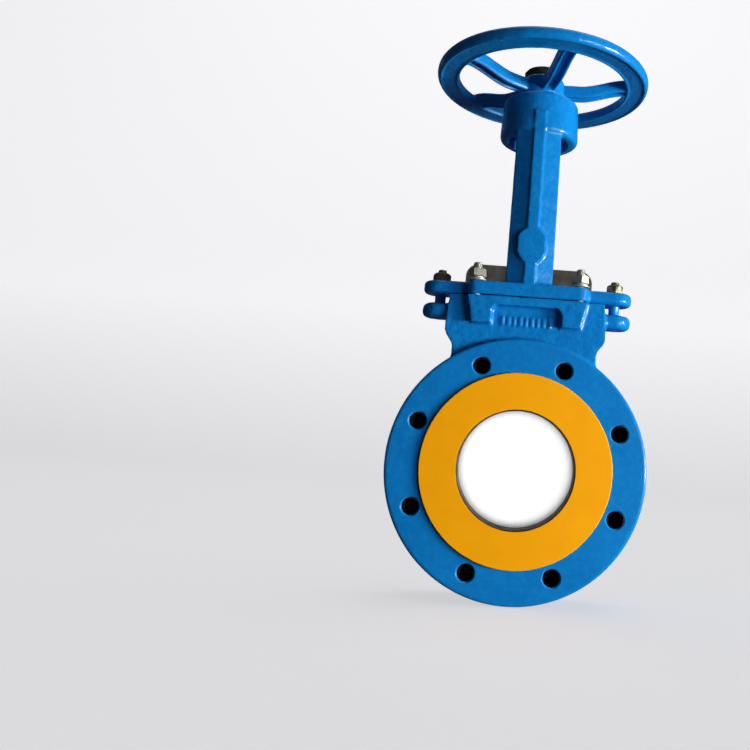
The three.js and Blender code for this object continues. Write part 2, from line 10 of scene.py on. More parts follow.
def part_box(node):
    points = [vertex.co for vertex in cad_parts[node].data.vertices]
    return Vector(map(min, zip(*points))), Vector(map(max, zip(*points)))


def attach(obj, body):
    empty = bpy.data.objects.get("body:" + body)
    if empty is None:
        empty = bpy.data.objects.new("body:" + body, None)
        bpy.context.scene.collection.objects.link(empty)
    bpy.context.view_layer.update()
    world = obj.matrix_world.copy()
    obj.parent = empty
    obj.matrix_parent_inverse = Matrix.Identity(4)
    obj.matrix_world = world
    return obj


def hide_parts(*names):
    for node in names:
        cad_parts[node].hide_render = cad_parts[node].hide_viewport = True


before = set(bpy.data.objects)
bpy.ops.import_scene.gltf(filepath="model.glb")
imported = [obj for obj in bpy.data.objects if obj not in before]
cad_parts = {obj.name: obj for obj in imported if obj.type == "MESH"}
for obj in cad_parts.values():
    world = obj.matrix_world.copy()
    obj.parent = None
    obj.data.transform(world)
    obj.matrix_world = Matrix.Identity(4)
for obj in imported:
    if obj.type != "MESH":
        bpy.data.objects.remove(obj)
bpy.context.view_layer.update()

MM = 0.001  # sizes below are in millimetres, in the CAD frame


def span_mm(node, axis):
    """Lowest and highest place of a CAD node along one axis, in millimetres."""
    low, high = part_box(node)
    return low[axis] / MM, high[axis] / MM


# ---- Sizes that follow the CAD nodes --------------------------------------------------------

FLANGE_R = span_mm("body", 0)[1]
FACE_OUT = span_mm("body", 1)[1]  # raised face
FLANGE_OUT = FACE_OUT - 2.5
FLANGE_IN = 9
FACE_R = 79
BORE_R = 48
BOLT_CIRCLE_R = 90
HOLE_R = 7
HOLE_FLOOR = 9  # the holes are blind, and stop this far from the middle plane
LUG_R = 11.5
CHEST_TOP = 143
SEAT_R = span_mm("seat_ring", 0)[1]
GATE_X = span_mm("gate", 0)[1]
GATE_Y = span_mm("gate", 1)[1]
GATE_TOP = span_mm("gate", 2)[1]
EAR_X = 75.7
EAR_R = 15
LOW_EAR = (122.5, 136)
PLATE_Z = (span_mm("yoke", 2)[0], 155)
HUB_R = 33.8
HUB_Z = (286.5, span_mm("yoke", 2)[1])
HUB_BORE_R = 27
RIM_R = 95.35
RIM_Z = (338.5, 350.3)
STEM_R = 9
NUT_BORE_R = 9.35
SLEEVE_R = 12  # threaded top of the stem nut, inside the wheel
WHEEL_BORE_R = 12.3
STEM_Z = span_mm("stem", 2)
PLATE_STUD = (44, 18.5)
THREAD_R = 3.8  # threads of the plate studs and the ear studs
NUT_HOLE_R = 4.1
EAR_SHANK_R = 4.7
SPOKES = 5
SPOKE_FIRST_DEG = -2.5


# ---- Mesh helpers ---------------------------------------------------------------------------

def add_rings(bm, rings):
    """Joins rings of the same number of 3-D points into a tube, its ends filled."""
    rows = [[bm.verts.new(p) for p in ring] for ring in rings]
    n = len(rows[0])
    for low, high in zip(rows, rows[1:]):
        for i in range(n):
            j = (i + 1) % n
            bm.faces.new((low[i], low[j], high[j], high[i]))
    bm.faces.new(list(reversed(rows[0])))
    bm.faces.new(rows[-1])


def circle(radius, z, count, centre=(0, 0)):
    step = 2 * math.pi / count
    return [(centre[0] + radius * math.cos(i * step), centre[1] + radius * math.sin(i * step), z)
            for i in range(count)]


def along_y(points):
    """Turns points built up along Z so that they run along Y instead."""
    return [(x, z, -y) for x, y, z in points]


def add_turned(bm, profile, count, centre=(0, 0), axis="Z"):
    """A solid turned from (radius, height) points; a closed ring if no radius is near 0."""
    hollow = min(r for r, _ in profile) > 0.01
    rings = [circle(max(r, 0.01), h, count, centre) for r, h in profile]
    if hollow:
        rings.append(rings[0])
    if axis == "Y":
        rings = [along_y(ring) for ring in rings]
    if not hollow:
        add_rings(bm, rings)
        return
    rows = [[bm.verts.new(p) for p in ring] for ring in rings[:-1]]
    for k, low in enumerate(rows):
        high = rows[(k + 1) % len(rows)]
        for i in range(count):
            j = (i + 1) % count
            bm.faces.new((low[i], low[j], high[j], high[i]))


def add_box(bm, x, y, z):
    ring = [(x[0], y[0]), (x[1], y[0]), (x[1], y[1]), (x[0], y[1])]
    add_rings(bm, [[(u, v, h) for u, v in ring] for h in z])


def add_prism_y(bm, outline, y):
    """An outline of (x, z) points, extruded along Y."""
    add_rings(bm, [[(x, v, z) for x, z in outline] for v in y])


def arc(centre, radius, start, end, steps):
    """Points of an arc, angles in degrees."""
    angles = [math.radians(start + (end - start) * i / steps) for i in range(steps + 1)]
    return [(centre[0] + radius * math.cos(a), centre[1] + radius * math.sin(a)) for a in angles]


def rounded_rect(half_x, half_y, radius, steps=6):
    points = []
    for k, (sx, sy) in enumerate(((1, 1), (-1, 1), (-1, -1), (1, -1))):
        centre = (sx * (half_x - radius), sy * (half_y - radius))
        points += arc(centre, radius, 90 * k, 90 * k + 90, steps)
    return points


def stadium(x0, x1, radius, steps=12):
    return arc((x1, 0), radius, -90, 90, steps) + arc((x0, 0), radius, 90, 270, steps)


def add_soft_slab(bm, outline, z, fillet, steps=4):
    """outline(inset) extruded along Z, with rounded upper and lower edges."""
    rings = []
    for k in range(steps + 1):
        a = math.pi / 2 * k / steps
        inset = fillet * (1 - math.sin(a))
        rings.append([(x, y, z[0] + fillet * (1 - math.cos(a))) for x, y in outline(inset)])
    for k in range(steps + 1):
        a = math.pi / 2 * k / steps
        inset = fillet * (1 - math.cos(a))
        rings.append([(x, y, z[1] - fillet * (1 - math.sin(a))) for x, y in outline(inset)])
    add_rings(bm, rings)


def new_object(name, bm):
    """A linked object from a mesh built in millimetres."""
    bmesh.ops.scale(bm, vec=(MM, MM, MM), verts=bm.verts)
    bmesh.ops.recalc_face_normals(bm, faces=bm.faces)
    mesh = bpy.data.meshes.new(name)
    bm.to_mesh(mesh)
    bm.free()
    obj = bpy.data.objects.new(name, mesh)
    bpy.context.scene.collection.objects.link(obj)
    return obj


def apply_modifiers(obj):
    bpy.context.view_layer.update()
    depsgraph = bpy.context.evaluated_depsgraph_get()
    mesh = bpy.data.meshes.new_from_object(obj.evaluated_get(depsgraph))
    old = obj.data
    obj.modifiers.clear()
    obj.data = mesh
    bpy.data.meshes.remove(old)


def fuse_casting(obj, voxel, rounds):
    """Fuses overlapping shells into one skin and rounds its edges and corners, as a casting is."""
    remesh = obj.modifiers.new("fuse", "REMESH")
    remesh.mode = "VOXEL"
    remesh.voxel_size = voxel * MM
    smooth = obj.modifiers.new("round", "SMOOTH")
    smooth.factor = 0.5
    smooth.iterations = rounds
    apply_modifiers(obj)


def roughen(obj, lump, depth, spare=None):
    """Sinks the skin by up to depth, in soft lumps; spare(x, y, z) is True where it stays as it is."""
    mesh = obj.data
    count = len(mesh.vertices)
    places, normals = np.zeros(count * 3), np.zeros(count * 3, np.float32)
    mesh.vertices.foreach_get("co", places)
    mesh.vertex_normals.foreach_get("vector", normals)
    places, normals = places.reshape(-1, 3), normals.reshape(-1, 3)
    levels = np.zeros(count)
    for i, (x, y, z) in enumerate(places / MM):
        if not (spare and spare(x, y, z)):
            at = Vector((x, y, z)) / lump
            levels[i] = 0.5 + 0.33 * (noise.noise(at) + 0.5 * noise.noise(at * 2.7))
    places -= normals * (levels * depth * MM)[:, None]
    mesh.vertices.foreach_set("co", places.ravel())
    mesh.update()


def cut(obj, build_tool, operation="DIFFERENCE"):
    """Machines obj: build_tool(bm) adds the shells that are taken away, or joined."""
    bm = bmesh.new()
    build_tool(bm)
    tool = new_object("tool", bm)
    boolean = obj.modifiers.new("cut", "BOOLEAN")
    boolean.operation = operation
    boolean.solver = "MANIFOLD"
    boolean.object = tool
    apply_modifiers(obj)
    mesh = tool.data
    bpy.data.objects.remove(tool)
    bpy.data.meshes.remove(mesh)


def shade(obj, degrees=35):
    """Smooth shading, broken at edges sharper than the angle."""
    bm = bmesh.new()
    bm.from_mesh(obj.data)
    limit = math.radians(degrees)
    for face in bm.faces:
        face.smooth = True
    for edge in bm.edges:
        edge.smooth = len(edge.link_faces) == 2 and edge.calc_face_angle(0) < limit
    bm.to_mesh(obj.data)
    bm.free()


def bevel(obj, width, segments=2, degrees=32):
    modifier = obj.modifiers.new("bevel", "BEVEL")
    modifier.width = width * MM
    modifier.segments = segments
    modifier.limit_method = "ANGLE"
    modifier.angle_limit = math.radians(degrees)
    modifier.harden_normals = False


# ---- Materials ------------------------------------------------------------------------------

class Shader:
    """A Principled material and short ways to add the nodes that drive it."""

    def __init__(self, name):
        self.material = bpy.data.materials.new(name)
        self.material.use_nodes = True
        self.tree = self.material.node_tree
        self.out = self.tree.nodes["Principled BSDF"]
        self.place = self.tree.nodes.new("ShaderNodeTexCoord").outputs["Object"]
        self.bump = None

    def set(self, **values):
        for key, value in values.items():
            self.out.inputs[key.replace("_", " ")].default_value = value
        return self

    def node(self, kind, **values):
        n = self.tree.nodes.new(kind)
        for key, value in values.items():
            n.inputs[key.replace("_", " ")].default_value = value
        return n

    def link(self, a, b):
        self.tree.links.new(a, b)

    def stretched(self, scale):
        m = self.node("ShaderNodeMapping", Scale=scale)
        self.link(self.place, m.inputs["Vector"])
        return m.outputs[0]

    def noise(self, scale, detail=3.0, rough=0.5, vector=None):
        n = self.node("ShaderNodeTexNoise", Scale=scale, Detail=detail, Roughness=rough)
        self.link(vector or self.place, n.inputs["Vector"])
        return n.outputs["Fac"]

    def pits(self, scale, vector=None):
        n = self.node("ShaderNodeTexVoronoi", Scale=scale)
        self.link(vector or self.place, n.inputs["Vector"])
        return n.outputs["Distance"]

    def ramp(self, fac, *stops):
        """Colours or grey levels at positions from 0 to 1."""
        n = self.node("ShaderNodeValToRGB")
        ramp = n.color_ramp
        while len(ramp.elements) < len(stops):
            ramp.elements.new(0.5)
        for element, (at, value) in zip(ramp.elements, stops):
            element.position = at
            element.color = (*value, 1) if isinstance(value, tuple) else (value,) * 3 + (1,)
        self.link(fac, n.inputs["Fac"])
        return n.outputs["Color"]

    def mix(self, fac, a, b):
        n = self.tree.nodes.new("ShaderNodeMix")
        n.data_type = "RGBA"
        for socket, value in ((n.inputs[0], fac), (n.inputs[6], a), (n.inputs[7], b)):
            if isinstance(value, bpy.types.NodeSocket):
                self.link(value, socket)
            elif isinstance(value, tuple):
                socket.default_value = (*value, 1)
            else:
                socket.default_value = value
        return n.outputs[2]

    def math(self, operation, a, b):
        n = self.tree.nodes.new("ShaderNodeMath")
        n.operation = operation
        n.use_clamp = operation == "MULTIPLY"
        for socket, value in ((n.inputs[0], a), (n.inputs[1], b)):
            if isinstance(value, bpy.types.NodeSocket):
                self.link(value, socket)
            else:
                socket.default_value = value
        return n.outputs[0]

    def edges(self, none, full):
        """Full strength on outer edges when full is the larger, or in inner corners when it is not."""
        geometry = self.tree.nodes.new("ShaderNodeNewGeometry")
        stops = sorted([(none, 0.0), (full, 1.0)])
        return self.ramp(geometry.outputs["Pointiness"], *stops)

    def add_bump(self, height, strength, distance):
        n = self.node("ShaderNodeBump", Strength=strength, Distance=distance * MM)
        self.link(height, n.inputs["Height"])
        if self.bump:
            self.link(self.bump, n.inputs["Normal"])
        self.bump = n.outputs["Normal"]
        return self

    def done(self, color=None, roughness=None):
        if color:
            self.link(color, self.out.inputs["Base Color"])
        if roughness:
            self.link(roughness, self.out.inputs["Roughness"])
        if self.bump:
            self.link(self.bump, self.out.inputs["Normal"])
        return self.material


BLUE = (0.003, 0.184, 0.59)
BLUE_DEEP = (0.0025, 0.148, 0.50)
BLUE_PALE = (0.008, 0.255, 0.67)
# painted shade: the deep blue that inner corners and creases of the enamel are darkened towards
BLUE_PAINTED_SHADE = (0.001, 0.045, 0.18)
ORANGE = (0.92, 0.385, 0.002)


def enamel(name, grain, lumps, gloss):
    """Thick blue enamel over a casting: grain and lumps are the bump strengths."""
    s = Shader(name)
    broad = s.noise(22, 3, 0.55)
    fine = s.noise(240, 4, 0.6)
    color = s.mix(s.ramp(broad, (0.3, 0.0), (0.7, 1.0)), BLUE, BLUE_DEEP)
    color = s.mix(s.ramp(fine, (0.45, 0.0), (0.75, 0.5)), color, BLUE_PALE)
    color = s.mix(s.math("MULTIPLY", s.edges(0.52, 0.6), 0.4), color, BLUE_PALE)
    # painted shade: inner corners and creases are darkened towards deep blue
    color = s.mix(s.math("MULTIPLY", s.edges(0.49, 0.42), 0.65), color, BLUE_PAINTED_SHADE)
    rough = s.ramp(s.noise(90, 3), (0.3, gloss), (0.75, gloss + 0.08))
    s.add_bump(s.noise(70, 2, 0.5), lumps, 1.2)
    s.add_bump(s.noise(420, 3, 0.6), grain, 0.5)
    s.add_bump(s.pits(700), grain * 0.5, 0.25)
    s.set(Coat_Weight=0.2, Coat_Roughness=0.06, Specular_IOR_Level=0.15)
    return s.done(color, rough)


def orange_paint():
    s = Shader("orange_face_paint")
    color = s.mix(s.ramp(s.noise(35, 4, 0.6), (0.35, 0.0), (0.75, 1.0)), ORANGE, (0.88, 0.35, 0.002))
    speck = s.ramp(s.noise(900, 2), (0.68, 0.0), (0.78, 0.6))
    color = s.mix(speck, color, (0.70, 0.24, 0.003))
    s.add_bump(s.noise(600, 3, 0.6), 0.2, 0.3)
    s.add_bump(s.noise(60, 2), 0.15, 0.6)
    s.set(Specular_IOR_Level=0.15)
    return s.done(color, s.ramp(s.noise(120), (0.3, 0.38), (0.8, 0.5)))


def bare_iron():
    s = Shader("bare_iron")
    rust = s.ramp(s.noise(60, 5, 0.65), (0.4, 0.0), (0.7, 1.0))
    color = s.mix(rust, (0.016, 0.010, 0.008), (0.034, 0.014, 0.006))
    s.add_bump(s.noise(500, 3, 0.6, s.stretched((1, 6, 1))), 0.4, 0.3)
    s.set(Metallic=0.2, Specular_IOR_Level=0.2)
    return s.done(color, s.ramp(s.noise(150), (0.3, 0.5), (0.8, 0.75)))


def brushed(name, color, dark, rough, stretch, metallic=1.0):
    """Bare metal with fine marks along the axis that stretch squeezes."""
    s = Shader(name)
    marks = s.noise(900, 3, 0.6, s.stretched(stretch))
    stains = s.noise(45, 4, 0.6)
    base = s.mix(s.ramp(stains, (0.45, 0.0), (0.8, 0.7)), color, dark)
    base = s.mix(s.ramp(marks, (0.5, 0.0), (0.75, 0.35)), base, dark)
    s.add_bump(marks, 0.25, 0.12)
    s.set(Metallic=metallic)
    return s.done(base, s.ramp(marks, (0.3, rough), (0.75, rough + 0.14)))


def blade_steel():
    """Ground stainless steel, dull along the top edge that stands above the packing, its colour darkened
    from 105 mm up: painted shade, partly grease.
    """
    s = Shader("blade_stainless")
    marks = s.noise(1500, 2, 0.5, s.stretched((1, 1, 0.04)))
    color = s.mix(s.ramp(marks, (0.35, 0.0), (0.7, 1.0)), (0.93, 0.93, 0.93), (0.84, 0.85, 0.85))
    split = s.tree.nodes.new("ShaderNodeSeparateXYZ")
    s.link(s.place, split.inputs[0])
    height = s.math("MULTIPLY", s.math("SUBTRACT", split.outputs[2], 0.105), 20)
    # painted shade, partly grease: dark blotches and less metal from 105 mm up
    grease_and_shade = s.math("MULTIPLY", height, s.ramp(s.noise(60, 4, 0.6), (0.2, 0.92), (0.6, 1.0)))
    color = s.mix(grease_and_shade, color, (0.034, 0.029, 0.02))
    s.add_bump(marks, 0.1, 0.05)
    s.link(s.ramp(grease_and_shade, (0.0, 0.92), (1.0, 0.3)), s.out.inputs["Metallic"])
    rough = s.ramp(grease_and_shade, (0.0, 0.32), (1.0, 0.42))
    return s.done(color, rough)


def rubber():
    s = Shader("seat_rubber")
    color = s.ramp(s.noise(200), (0.3, (0.018, 0.018, 0.018)), (0.7, (0.035, 0.034, 0.032)))
    s.add_bump(s.noise(1200, 2), 0.3, 0.1)
    return s.done(color, s.ramp(s.noise(300), (0.3, 0.65), (0.7, 0.85)))


def braid():
    s = Shader("packing_braid")
    weave = s.pits(420, s.stretched((1, 1, 1.6)))
    color = s.ramp(weave, (0.1, (0.20, 0.18, 0.14)), (0.7, (0.07, 0.065, 0.055)))
    s.add_bump(weave, 0.6, 0.5)
    return s.done(color, s.ramp(s.noise(200), (0.3, 0.6), (0.7, 0.9)))


MAT = {
    "body": enamel("enamel_body", 0.45, 0.6, 0.2),
    "flange": enamel("enamel_machined", 0.12, 0.08, 0.28),
    "wheel": enamel("enamel_wheel", 0.6, 0.8, 0.2),
    "orange": orange_paint(),
    "iron": bare_iron(),
    "blade": blade_steel(),
    "stem": brushed("stem_stainless", (0.62, 0.62, 0.60), (0.30, 0.29, 0.27), 0.25, (0.1, 0.1, 1)),
    "zinc": brushed("zinc_plate", (0.50, 0.50, 0.48), (0.27, 0.25, 0.21), 0.46, (1, 1, 1), 0.85),
    "olive": brushed("olive_steel", (0.22, 0.21, 0.17), (0.10, 0.085, 0.06), 0.38, (1, 1, 1)),
    "steel": brushed("turned_steel", (0.42, 0.42, 0.41), (0.20, 0.19, 0.18), 0.36, (1, 1, 0.2)),
    "black": brushed("blackened_steel", (0.030, 0.024, 0.020), (0.012, 0.010, 0.009), 0.42, (1, 1, 1), 0.6),
    "brass": brushed("nut_bronze", (0.60, 0.42, 0.17), (0.30, 0.19, 0.07), 0.32, (0.2, 0.2, 1)),
    "rubber": rubber(),
    "braid": braid(),
}


def place(obj, body, nodes, slot, *looks):
    """Gives a new piece its materials, hangs it on its body's empty and hides the CAD nodes it stands for.
    """
    obj.data.materials.clear()
    for look in looks:
        obj.data.materials.append(MAT[look])
    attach(obj, body)
    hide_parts(*nodes)
    return obj


# ---- Body casting ---------------------------------------------------------------------------

def hole_places():
    places = []
    for i in range(8):
        a = math.radians(22.5 + 45 * i)
        places.append((BOLT_CIRCLE_R * math.cos(a), BOLT_CIRCLE_R * math.sin(a)))
    return places


def chest_outline():
    right = [(61.5, 80), (61.5, 99), (63.5, 103.5), (66.7, 107.5)]
    right += [(68.4, 112), (68.4, 118), (66.5, CHEST_TOP)]
    return right + [(-x, z) for x, z in reversed(right)]


def pad_outline():
    left = [(-51.5, CHEST_TOP), (-46.5, 119), (-29, 119), (-29, 131), (-25.5, 134.8)]
    return left + [(-x, z) for x, z in reversed(left)]


def ear_outline(side):
    def outline(inset):
        points = stadium(45, EAR_X, EAR_R - inset)
        return [(side * x, side * y) for x, y in points]
    return outline


def body_shells(bm):
    disc = [(40, FLANGE_IN), (FLANGE_R - 1.5, FLANGE_IN), (FLANGE_R, FLANGE_IN + 1.5)]
    disc += [(FLANGE_R, FLANGE_OUT - 1), (FLANGE_R - 1, FLANGE_OUT), (40, FLANGE_OUT)]
    for side in (-1, 1):
        add_turned(bm, [(r, side * h) for r, h in disc], 160, axis="Y")
        pad = [(side * x, z) for x, z in pad_outline()]
        add_prism_y(bm, pad, (side * 25, side * 15))
        add_soft_slab(bm, ear_outline(side), LOW_EAR, 5.5)
    add_turned(bm, [(0, -15), (62, -15), (62, 15), (0, 15)], 120, axis="Y")
    add_box(bm, (-61.5, 61.5), (-15, 15), (0, 100))
    for x in range(-20, 21, 5):
        add_box(bm, (x - 1.1, x + 1.1), (-19.6, 19.6), (119.5, 126))
    add_prism_y(bm, chest_outline(), (-18, 18))
    for degrees in (0, 180, 225, 270, 315):
        a = math.radians(degrees)
        along, across = Vector((math.cos(a), 0, math.sin(a))), Vector((-math.sin(a), 0, math.cos(a)))
        corners = [along * r + across * w for r, w in ((50, -4), (101, -4), (101, 4), (50, 4))]
        add_rings(bm, [[(c.x, y, c.z) for c in corners] for y in (-10, 10)])
    for x, z in hole_places():
        if z < 60:
            rings = [along_y(circle(LUG_R, h, 32)) for h in (-10, 10)]
            add_rings(bm, [[(x + px, py, z + pz) for px, py, pz in ring] for ring in rings])


def raised_face(bm):
    for side in (-1, 1):
        ring = [(BORE_R - 2, 21.5), (FACE_R, 21.5), (FACE_R, FACE_OUT - 0.5), (FACE_R - 0.5, FACE_OUT)]
        ring.append((BORE_R - 2, FACE_OUT))
        add_turned(bm, [(r, side * h) for r, h in ring], 200, axis="Y")


def body_bores(bm):
    front = [(0, -30), (BORE_R + 5, -30), (BORE_R + 0.8, -FACE_OUT + 0.2), (BORE_R, -FACE_OUT + 1)]
    rear = [(BORE_R, 0), (SEAT_R + 0.3, 1), (SEAT_R + 0.3, 30), (0, 30)]
    add_turned(bm, front + rear, 200, axis="Y")


def gate_passage(bm):
    half = GATE_X + 1
    outline = [(half, CHEST_TOP + 5), (-half, CHEST_TOP + 5)] + arc((0, 0), half, 180, 360, 64)
    add_prism_y(bm, outline, (-GATE_Y - 0.5, GATE_Y + 0.5))


def packing_box(bm):
    add_box(bm, (-63, 63), (-12.5, 12.5), (112, CHEST_TOP + 6))


def bolt_holes(bm):
    profile = [(0.01, HOLE_FLOOR), (HOLE_R - 2.5, HOLE_FLOOR + 0.01), (HOLE_R, HOLE_FLOOR + 1.5)]
    profile += [(HOLE_R, FLANGE_OUT - 1.2), (HOLE_R + 1.1, FLANGE_OUT - 0.1), (HOLE_R + 3, FLANGE_OUT + 1.8)]
    profile.append((0.01, FLANGE_OUT + 1.8))
    for x, z in hole_places():
        for side in (-1, 1):
            rings = [along_y(circle(r, side * h, 48)) for r, h in profile]
            add_rings(bm, [[(x + px, py, z + pz) for px, py, pz in ring] for ring in rings])


def stud_holes(bm):
    for x in (-1, 1):
        for y in (-1, 1):
            centre = (x * PLATE_STUD[0], y * PLATE_STUD[1])
            add_turned(bm, [(0, 125), (4.1, 125), (4.1, 150), (0, 150)], 24, centre)
        add_turned(bm, [(0, 115), (5, 115), (5, 140), (0, 140)], 32, (x * EAR_X, 0))


def paint_body_faces(mesh):
    """Blue over the casting, orange on the raised faces, bare iron in the bores and holes."""
    centres = np.zeros(len(mesh.polygons) * 3)
    mesh.polygons.foreach_get("center", centres)
    x, y, z = (centres.reshape(-1, 3) / MM).T
    r = np.hypot(x, z)
    index = np.zeros(len(x), np.int32)
    machined = (np.abs(y) > FLANGE_OUT - 1.5) & (np.abs(y) < FLANGE_OUT + 0.2) & (r < FLANGE_R + 1)
    index[machined] = 1
    index[(np.abs(y) > FLANGE_OUT + 0.1) & (r < FACE_R + 0.1) & (r > BORE_R)] = 2
    index[(r < BORE_R + 0.2) | ((r < SEAT_R + 0.5) & (np.abs(y) < FACE_OUT - 0.1))] = 3
    for hx, hz in hole_places():
        index[np.hypot(x - hx, z - hz) < HOLE_R + 0.05] = 3
    mesh.polygons.foreach_set("material_index", index)


def body_casting():
    bm = bmesh.new()
    body_shells(bm)
    obj = new_object("body_casting", bm)
    fuse_casting(obj, 1.1, 4)
    roughen(obj, 5.5, 0.9, spare=lambda x, y, z: math.hypot(x, z) < 109 and abs(y) > 12)
    cut(obj, raised_face, "UNION")
    for tool in (body_bores, gate_passage, packing_box, bolt_holes, stud_holes):
        cut(obj, tool)
    place(obj, "valve_body", ["body"], "blue_paint", "body", "flange", "orange", "iron")
    paint_body_faces(obj.data)
    shade(obj, 42)


# ---- Yoke casting ---------------------------------------------------------------------------

ARM_FOOT = {"z": 153, "half": 20.3, "inner": 14.5, "edge": 18, "shoulder": 23.4, "front": 25}
ARM_TOP = {"z": 305, "half": 19.4, "inner": 22.4, "edge": 28.7, "shoulder": 34.5, "front": 36.2}
RIB_HALF = 4.8


def arm_section(t, side):
    """The arm's section at a share t of its height; side is -1 for the front arm."""
    v = {k: ARM_FOOT[k] + (ARM_TOP[k] - ARM_FOOT[k]) * t for k in ARM_FOOT}
    half = [(v["half"], v["inner"]), (v["half"], v["edge"])]
    half += [(RIB_HALF + 0.6, v["shoulder"]), (RIB_HALF, v["front"])]
    points = half + [(-x, y) for x, y in reversed(half)]
    return [(side * x, side * y, v["z"]) for x, y in points]


def add_boss(bm, side):
    """The flat oval boss low on each arm, its face in line with the rib."""
    rings = []
    for depth in (0, 1):
        ring = []
        for x, z in arc((0, 191.4), 12, 0, 180, 16) + arc((0, 183.5), 12, 180, 360, 16):
            t = (z - ARM_FOOT["z"]) / (ARM_TOP["z"] - ARM_FOOT["z"])
            front = ARM_FOOT["front"] + (ARM_TOP["front"] - ARM_FOOT["front"]) * t
            ring.append((side * x, side * (front - 8 * (1 - depth)), z))
        rings.append(ring)
    add_rings(bm, rings)


def yoke_shells(bm):
    add_soft_slab(bm, lambda inset: rounded_rect(52 - inset, 25 - inset, 8 - inset), PLATE_Z, 1.2)
    for side in (-1, 1):
        add_soft_slab(bm, ear_outline(side), PLATE_Z, 4)
        add_rings(bm, [arm_section(t, side) for t in (0, 0.25, 0.5, 0.75, 1)])
        add_boss(bm, side)
    hub = [(0, HUB_Z[0]), (30.5, HUB_Z[0])] + arc((30.5, HUB_Z[0] + 4.5), 4.5, -90, 0, 5)[1:]
    hub += arc((HUB_R - 4, HUB_Z[1] - 4), 4, 0, 90, 6) + [(0, HUB_Z[1])]
    add_turned(bm, hub, 120)


def yoke_bores(bm):
    below = [(0, 270), (HUB_BORE_R, 270), (HUB_BORE_R, 296), (15.3, 296)]
    above = [(15.3, 301), (HUB_BORE_R, 301), (HUB_BORE_R, 322.8)]
    mouth = [(HUB_BORE_R + 1, HUB_Z[1]), (HUB_BORE_R + 1, 330), (0, 330)]
    add_turned(bm, below + above + mouth, 96)


def yoke_window(bm):
    add_box(bm, (-GATE_X - 0.6, GATE_X + 0.6), (-GATE_Y - 0.6, GATE_Y + 0.6), (140, 158))


def yoke_holes(bm):
    for x in (-1, 1):
        for y in (-1, 1):
            centre = (x * PLATE_STUD[0], y * PLATE_STUD[1])
            add_turned(bm, [(0, 140), (4.5, 140), (4.5, 158), (0, 158)], 24, centre)
        add_turned(bm, [(0, 140), (5.3, 140), (5.3, 158), (0, 158)], 32, (x * EAR_X, 0))


def yoke_casting():
    bm = bmesh.new()
    yoke_shells(bm)
    obj = new_object("yoke_casting", bm)
    fuse_casting(obj, 0.9, 4)
    roughen(obj, 9, 0.35)
    for tool in (yoke_bores, yoke_window, yoke_holes):
        cut(obj, tool)
    place(obj, "valve_body", ["yoke"], "blue_paint", "body")
    shade(obj, 42)


# ---- Handwheel ------------------------------------------------------------------------------

def spoke_height(r):
    """Middle line of a spoke: level by the hub, rising to the rim."""
    t = min(max((r - 34) / 42, 0), 1)
    return 336.2 + 8.2 * t * t * (3 - 2 * t)


def spoke_section(r):
    """Flat above, two rounded lips below with a shallow groove between them."""
    groove = min(max((r - 22) / 8, 0), 1) * min(max((75.5 - r) / 5, 0), 1)
    half = [(6.75, 4.6), (6.6, -3.2), (5.9, -5.0), (4.6, -5.6), (3.3, -5.2), (2.7, -5.2 + 3.4 * groove)]
    points = [(-6.2, 5.5)] + [(-w, h) for w, h in half] + [(w, h) for w, h in reversed(half)] + [(6.2, 5.5)]
    return [(r, w, spoke_height(r) + h) for w, h in points]


def wheel_shells(bm):
    low, high = RIM_Z
    rim = [(75.5, 340.6), (76.4, low), (77.8, low), (78.6, low + 0.8)]
    rim += [(90.8, low + 0.8), (91.6, low), (92.8, low), (94, 339.5), (95.1, 341.6)]
    rim += [(RIM_R, 343.8), (94.9, 346.6), (92.8, 349), (89.6, high), (82.5, high)]
    rim += [(78.8, 349.2), (76.2, 346.8), (75.2, 343.4)]
    add_turned(bm, rim, 180)
    hub = [(0, 327), (18.8, 327), (20, 328.2), (20, 343.5), (19.2, 345.4), (17, 346.5), (0, 346.5)]
    add_turned(bm, hub, 72)
    for i in range(SPOKES):
        turn = Matrix.Rotation(math.radians(SPOKE_FIRST_DEG + 360 / SPOKES * i), 3, "Z")
        rings = [[tuple(turn @ Vector(p)) for p in spoke_section(14 + 65 * k / 19)] for k in range(20)]
        add_rings(bm, rings)


def wheel_bore(bm):
    """The bore and its keyway. Known fault: where the two shells overlap, a block is left uncut."""
    add_turned(bm, [(0, 320), (WHEEL_BORE_R, 320), (WHEEL_BORE_R, 350), (0, 350)], 64)
    add_box(bm, (-2.3, 2.3), (8, 14.2), (320, 346))


def handwheel():
    bm = bmesh.new()
    wheel_shells(bm)
    obj = new_object("handwheel_casting", bm)
    fuse_casting(obj, 0.8, 2)
    roughen(obj, 5, 0.25)
    cut(obj, wheel_bore)
    place(obj, "wheel_and_nut", ["handwheel"], "blue_paint", "wheel")
    shade(obj, 48)


# ---- Threads, nuts and washers --------------------------------------------------------------

